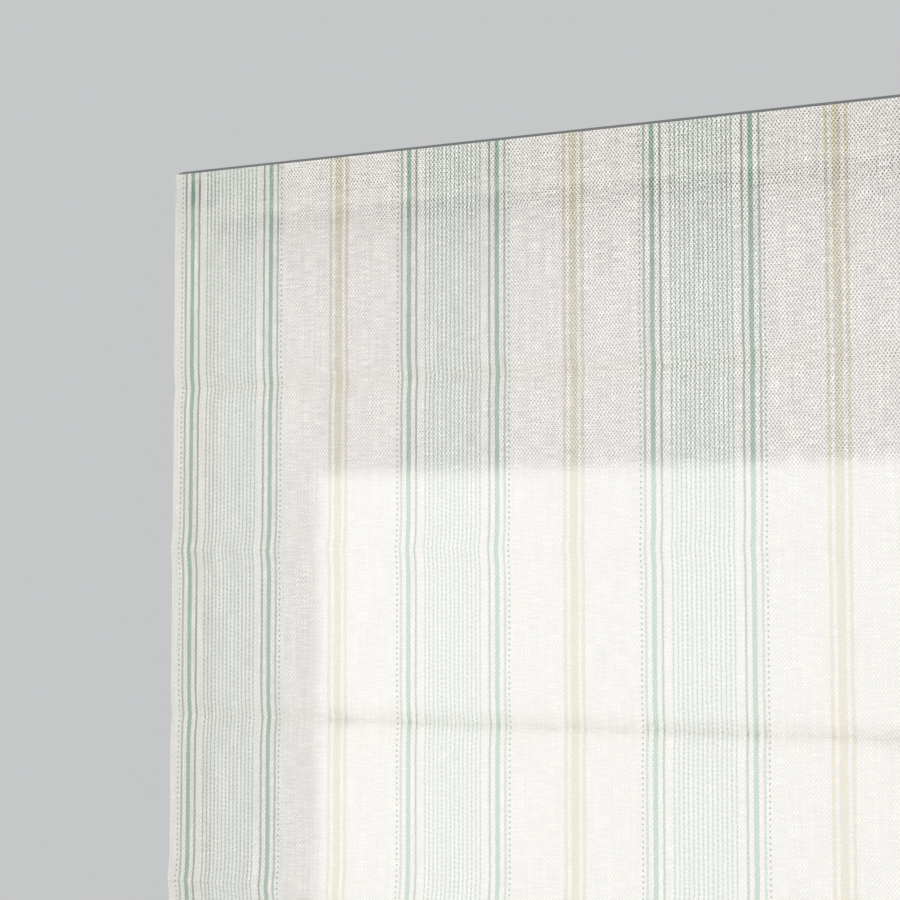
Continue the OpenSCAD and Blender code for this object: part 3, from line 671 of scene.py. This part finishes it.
def tube(path, radius, sides):
    """Points, faces and braid places of a round strand along a path."""
    points, faces, places = [], [], []
    along, side = 0, None
    for i, at in enumerate(path):
        run = (path[min(i + 1, len(path) - 1)] - path[max(i - 1, 0)]).normalized()
        if side is None:
            side = run.orthogonal().normalized()
        side = (side - run * side.dot(run)).normalized()
        other = run.cross(side)
        along += (at - path[i - 1]).length if i else 0
        for k in range(sides):
            a = math.tau * k / sides
            points.append(at + radius * (math.cos(a) * side + math.sin(a) * other))
            places.append((2 * k / sides, along / PLAIT))
    for i in range(len(path) - 1):
        for k in range(sides):
            a, b = i * sides + k, i * sides + (k + 1) % sides
            faces.append((a, b, b + sides, a + sides))
    faces.append(tuple(reversed(range(sides))))
    faces.append(tuple(range(len(points) - sides, len(points))))
    return points, faces, places


def strands_piece(name, paths, radius, sides, material, body):
    """One piece from many strands, such as a row of stitches."""
    points, faces, places = [], [], []
    for path in paths:
        more_points, more_faces, more_places = tube(path, radius, sides)
        faces += [tuple(index + len(points) for index in face) for face in more_faces]
        points += more_points
        places += more_places
    return mesh_piece(name, points, faces, (BRAID_MAP, places), material, body)


def stitch(start, end, out, lift):
    """Path of one stitch: it dips into the cloth at both ends and stands off it between them."""
    rise = (-0.4, 0.7, 1.0, 0.7, -0.4)
    return [start.lerp(end, i / 4) + out * lift * rise[i] for i in range(5)]


def stitch_row(first, last, pitch, reach, y, z, out):
    """Stitches one after the other along a seam at one height, on the side of the cloth that out gives."""
    starts = [Vector((x, y, z)) for x in spaced(first, last, pitch)]
    return [stitch(start, start + Vector((reach, 0, 0)), Vector((0, out, 0)), STITCH_LIFT) for start in starts]


def slip_stitches(cloth):
    """Stitches that hold the side hems, each from the cloth over the hem's inner edge."""
    pitch, first, last = 8 * MM, 4 * MM, 8 * MM
    into_cloth, into_hem, fall = 1.6 * MM, 2.2 * MM, 2.4 * MM
    made = []
    for side in (-1, 1):
        inner = side * (CLOTH_HIGH.x - cloth.side_hem)
        for z in spaced(still_line(cloth) - first, seam_line(cloth) + last, pitch):
            y = CLOTH_FRONT + cloth.thickness + crease(cloth, z) + ripple(cloth, inner, z)
            start = Vector((inner - side * into_cloth, y - cloth.thickness / 2, z))
            end = Vector((inner + side * into_hem, y, z - fall))
            made.append(stitch(start, end, Vector((0, 1, 0)), SLIP_LIFT))
    return made


class BLIND_OT_cloth(bpy.types.Operator):
    """Hangs the striped linen from the rail, creased at its rods, with hems and the bar's pocket"""
    bl_idname = "blind.cloth"
    bl_label = "Striped linen"

    def execute(self, context):
        cloth = context.scene.blind_linen
        linen = material_once(striped_linen, cloth)
        felt = material_once(shading_felt, cloth)
        thread = material_once(braided_cord, context.scene.blind_hardware)
        columns = cloth_columns(cloth)
        still, seam = still_line(cloth), seam_line(cloth)
        top = CLOTH_HIGH.z
        bend = cloth.thickness / 2

        heading = sheet_piece("cloth_heading", cloth, heading_rows(cloth), columns, linen, "head")
        hanging = panel_rows(cloth)
        panel = sheet_piece("cloth_panel", cloth, hanging, columns, linen, "head")

        # Felt behind the side hems and the heading: its grey darkens them from the front, partly as painted shade
        linings = []
        for side, name in ((-1, "hem_lining_left"), (1, "hem_lining_right")):
            strip = [(side * (CLOTH_HIGH.x - x), bend, x) for x in spaced(2 * bend, cloth.side_hem, HEM_STEP)]
            linings.append(sheet_piece(name, cloth, hanging, strip, felt, "head"))
        strip = [(x, bend, x) for x in spaced(CLOTH_LOW.x + 2 * bend, CLOTH_HIGH.x - 2 * bend, ACROSS_STEP)]
        rows = [(CLOTH_FRONT, z, top - z, (1, 0)) for z in spaced(top - 2 * bend, still, END_STEP)]
        heading_lining = sheet_piece("heading_lining", cloth, rows, strip, felt, "head")

        foot = pocket_rows(cloth)
        pocket = sheet_piece("cloth_foot", cloth, foot, columns, linen, "bar")
        pocket_back, _, cut_end, _ = foot[-1]

        hem_stitches = strands_piece(
            "hem_stitches", slip_stitches(cloth), SLIP_THREAD_R, THREAD_SIDES, thread, "head")
        for sheet in (panel, *linings, hem_stitches):
            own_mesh(sheet)
        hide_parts("fabric_panel")

        pitch, reach, below = 3.6 * MM, 2.9 * MM, 1.6 * MM
        first, last = CLOTH_LOW.x + 6 * MM, CLOTH_HIGH.x - 9 * MM
        seams = []
        for y, out in ((CLOTH_FRONT, -1), (pocket_back, 1)):
            seams += stitch_row(first, last, pitch, reach, y, seam - below, out)
        seam_stitches = strands_piece("seam_stitches", seams, THREAD_R, THREAD_SIDES, thread, "bar")
        return {"FINISHED"}


def knot_path(x, y, z):
    """Path of an overhand knot, which is a trefoil."""
    turns = [math.tau * i / KNOT_POINTS for i in range(KNOT_POINTS + 1)]
    return [Vector((x + KNOT_LOOP * (math.sin(a) + 2 * math.sin(2 * a)),
                    y + KNOT_LOOP * (math.cos(a) - 2 * math.cos(2 * a)),
                    z - KNOT_LOOP * math.sin(3 * a))) for a in turns]


class BLIND_OT_cords(bpy.types.Operator):
    """Strings the three lift cords from their spools through the eyelets to their knots"""
    bl_idname = "blind.cords"
    bl_label = "Lift cords"

    def execute(self, context):
        braid = material_once(braided_cord, context.scene.blind_hardware)
        radius = (CORD_HIGH.x - CORD_LOW.x) / 2
        shaft_y = (SHAFT_LOW.y + SHAFT_HIGH.y) / 2
        for side in SIDES:
            low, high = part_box("lift_cord_" + side)
            x, y = (low.x + high.x) / 2, (low.y + high.y) / 2
            path = [Vector((x, y, z)) for z in spaced(high.z, low.z, CORD_STEP)]
            cord = strands_piece("cord_" + side, [path], radius, CORD_SIDES, braid, "head")
            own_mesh(cord)
            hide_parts("lift_cord_" + side)

            reach = shaft_y - y
            wound = []
            for i in range(int(SPOOL_TURNS * TURN_POINTS) + 1):
                a = math.tau * i / TURN_POINTS
                wound.append(Vector((x - 2 * radius * a / math.tau, shaft_y - reach * math.cos(a),
                                     high.z + reach * math.sin(a))))
            strands_piece("spool_turns_" + side, [wound], radius, CORD_SIDES, braid, "shaft")

            # The knot is pulled tight, and its tail ends 6 mm below the cord's end
            knot = knot_path(x, y, low.z - KNOT_DROP)
            tail = [Vector((x + TAIL_ASIDE, y, low.z - (2 + 0.5 * i) * MM)) for i in range(9)]
            strands_piece("cord_knot_" + side, [knot, tail], KNOT_TIGHT * radius, KNOT_SIDES, braid, "bar")
        return {"FINISHED"}


class BLIND_OT_rods(bpy.types.Operator):
    """Finishes the rods, sews their pockets and finishes their eyelets"""
    bl_idname = "blind.rods"
    bl_label = "Rods, pockets and eyelets"

    def execute(self, context):
        hardware = context.scene.blind_hardware
        fibre = material_once(pultruded_glass_fibre, hardware)
        tape = material_once(woven_tape, hardware)
        clip = material_once(clear_nylon, hardware)
        thread = material_once(braided_cord, hardware)
        pitch, reach = 4 * MM, 3.1 * MM
        inset, below = 1.2 * MM, 2 * MM
        for i, rod in enumerate(ROD_NAMES, 1):
            pocket = f"rod_pocket_{i}"
            finish([rod], fibre)
            finish([pocket], tape)
            finish([f"eyelets_{i}"], clip)
            low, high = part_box(pocket)
            sewn = stitch_row(
                low.x + 3 * MM, high.x - 6 * MM, pitch, reach, low.y + inset, high.z - below, 1)
            strands_piece(f"pocket_stitches_{i}", sewn, THREAD_R, THREAD_SIDES, thread, f"rod_row_{i}")
        return {"FINISHED"}


class BLIND_OT_rail(bpy.types.Operator):
    """Finishes the head rail, its end caps, its brackets and the touch tape"""
    bl_idname = "blind.rail"
    bl_label = "Head rail"

    def execute(self, context):
        hardware = context.scene.blind_hardware
        finish(["headrail"], material_once(anodised_aluminium, hardware))
        finish(["end_cap_left", "end_cap_right"], material_once(grey_nylon, hardware))
        finish(["bracket_left", "bracket_right"], material_once(zinc_plated_steel, hardware))
        finish(["hook_tape", "loop_tape"], material_once(touch_tape, hardware))
        return {"FINISHED"}


class BLIND_OT_lift_gear(bpy.types.Operator):
    """Finishes the lift shaft, the spools in their cradles and the spring motor"""
    bl_idname = "blind.lift_gear"
    bl_label = "Lift gear"

    def execute(self, context):
        hardware = context.scene.blind_hardware
        white = material_once(white_nylon, hardware)
        finish(["lift_shaft", "motor_screws"], material_once(zinc_plated_steel, hardware))
        finish([kind + side for kind in ("spool_", "cradle_") for side in SIDES], white)
        finish(["motor_collar", "motor_cover"], white)
        finish(["motor_case"], material_once(grey_nylon, hardware))
        return {"FINISHED"}


class BLIND_OT_bottom_bar(bpy.types.Operator):
    """Finishes the bottom bar, its end caps and the anchors of the cords"""
    bl_idname = "blind.bottom_bar"
    bl_label = "Bottom bar"

    def execute(self, context):
        hardware = context.scene.blind_hardware
        finish(["bottom_bar"], material_once(anodised_aluminium, hardware))
        finish(["bar_cap_left", "bar_cap_right"], material_once(grey_nylon, hardware))
        finish(["cord_anchors"], material_once(white_nylon, hardware))
        return {"FINISHED"}


def area_lamp(name, place, aim, size, power, spread=math.pi):
    """A soft rectangular lamp that lights without showing."""
    lamp = bpy.data.lights.new(name, "AREA")
    lamp.shape = "RECTANGLE"
    lamp.size, lamp.size_y = size
    lamp.energy = power
    lamp.spread = spread
    holder = bpy.data.objects.new(name, lamp)
    holder.location = place
    holder.rotation_mode = "QUATERNION"
    holder.rotation_quaternion = (Vector(aim) - Vector(place)).to_track_quat("-Z", "Y")
    holder.visible_camera = False
    holder.visible_glossy = False
    bpy.context.scene.collection.objects.link(holder)


class BLIND_OT_stage(bpy.types.Operator):
    """Sets the camera, the backdrop, the floor and the light"""
    bl_idname = "blind.stage"
    bl_label = "Stage"

    def execute(self, context):
        scene = context.scene
        stage = scene.blind_stage
        scene.view_settings.view_transform = "Standard"

        camera = bpy.data.objects.new("camera", bpy.data.cameras.new("camera"))
        camera.data.lens = stage.lens
        camera.data.sensor_width = SENSOR_WIDTH
        corner = Vector((CLOTH_LOW.x, CLOTH_FRONT, CLOTH_HIGH.z))
        camera.location = corner + Vector(stage.camera_place)
        camera.rotation_mode = "QUATERNION"
        camera.rotation_quaternion = Vector(stage.camera_aim).to_track_quat("-Z", "Y")
        scene.collection.objects.link(camera)
        scene.camera = camera

        # The camera, reflections and clear pieces see the backdrop, and all else gets an even light
        world = bpy.data.worlds.new("surroundings")
        world.use_nodes = True
        world.node_tree.nodes.clear()
        tree = world.node_tree
        ray = add(tree, "LightPath").outputs
        seen = add(tree, "Math", {0: ray["Is Camera Ray"], 1: ray["Is Glossy Ray"]}, operation="MAXIMUM").outputs[0]
        seen = add(tree, "Math", {0: seen, 1: ray["Is Transmission Ray"]}, operation="MAXIMUM").outputs[0]
        light = add(tree, "Background", {0: (1, 1, 1, 1), 1: stage.ambient})
        backdrop = add(tree, "Background", {0: (*stage.backdrop, 1), 1: 1.0})
        mix = add(tree, "MixShader", {0: seen, 1: light.outputs[0], 2: backdrop.outputs[0]})
        add(tree, "OutputWorld", {"Surface": mix.outputs[0]})
        scene.world = world

        half = stage.floor_size / 2
        low = CLOTH_LOW.z - stage.floor_gap
        mesh = bpy.data.meshes.new("floor")
        mesh.from_pydata([(-half, -half, low), (half, -half, low), (half, half, low), (-half, half, low)], [],
                         [(0, 1, 2, 3)])
        material, tree, surface = new_material("painted_floor")
        place = add(tree, "TexCoord").outputs["Object"]
        rough = spread_noise(tree, place, (40, 40, 40), 0.75, 0.9)
        paint = add(tree, "BsdfPrincipled", {"Base Color": (*stage.floor, 1), "Roughness": rough})
        tree.links.new(paint.outputs[0], surface)
        mesh.materials.append(material)
        floor = bpy.data.objects.new("floor", mesh)
        scene.collection.objects.link(floor)

        middle = (CLOTH_LOW + CLOTH_HIGH) / 2
        area_lamp("key_light", middle + Vector(stage.key_place), middle, (stage.key_size, stage.key_size),
                  stage.key_power)
        wide = CLOTH_HIGH.x - CLOTH_LOW.x - 2 * stage.back_inset
        high = CLOTH_HIGH.z - stage.back_drop
        tall = high - CLOTH_LOW.z - stage.back_rise
        behind = Vector((0, CLOTH_BACK + stage.back_depth, high - tall / 2))
        area_lamp("back_light", behind, behind - Vector((0, 1, 0)), (wide, tall), stage.back_power, stage.back_spread)
        return {"FINISHED"}


class BLIND_PT_panel(bpy.types.Panel):
    """Lists the blind's settings and its steps"""
    bl_idname = "BLIND_PT_panel"
    bl_label = "Roman Blind"
    bl_space_type = "VIEW_3D"
    bl_region_type = "UI"
    bl_category = "Roman Blind"

    def draw(self, context):
        for step in STEPS:
            self.layout.operator(step.bl_idname)
        for group, _ in SETTINGS:
            settings = getattr(context.scene, group)
            for name in settings.__annotations__:
                self.layout.prop(settings, name)


SETTINGS = (
    ("blind_linen", LinenSettings),
    ("blind_hardware", HardwareSettings),
    ("blind_stage", StageSettings),
)
STEPS = (
    BLIND_OT_stage, BLIND_OT_cloth, BLIND_OT_cords, BLIND_OT_rods, BLIND_OT_rail, BLIND_OT_lift_gear,
    BLIND_OT_bottom_bar,
)


def register():
    for name, group in SETTINGS:
        bpy.utils.register_class(group)
        setattr(bpy.types.Scene, name, bpy.props.PointerProperty(type=group))
    for step in (*STEPS, BLIND_PT_panel):
        bpy.utils.register_class(step)


def unregister():
    for step in reversed((*STEPS, BLIND_PT_panel)):
        bpy.utils.unregister_class(step)
    for name, group in reversed(SETTINGS):
        delattr(bpy.types.Scene, name)
        bpy.utils.unregister_class(group)


def main():
    register()
    bpy.ops.blind.stage()
    bpy.ops.blind.cloth()
    bpy.ops.blind.cords()
    bpy.ops.blind.rods()
    bpy.ops.blind.rail()
    bpy.ops.blind.lift_gear()
    bpy.ops.blind.bottom_bar()


if __name__ == "__main__":
    main()
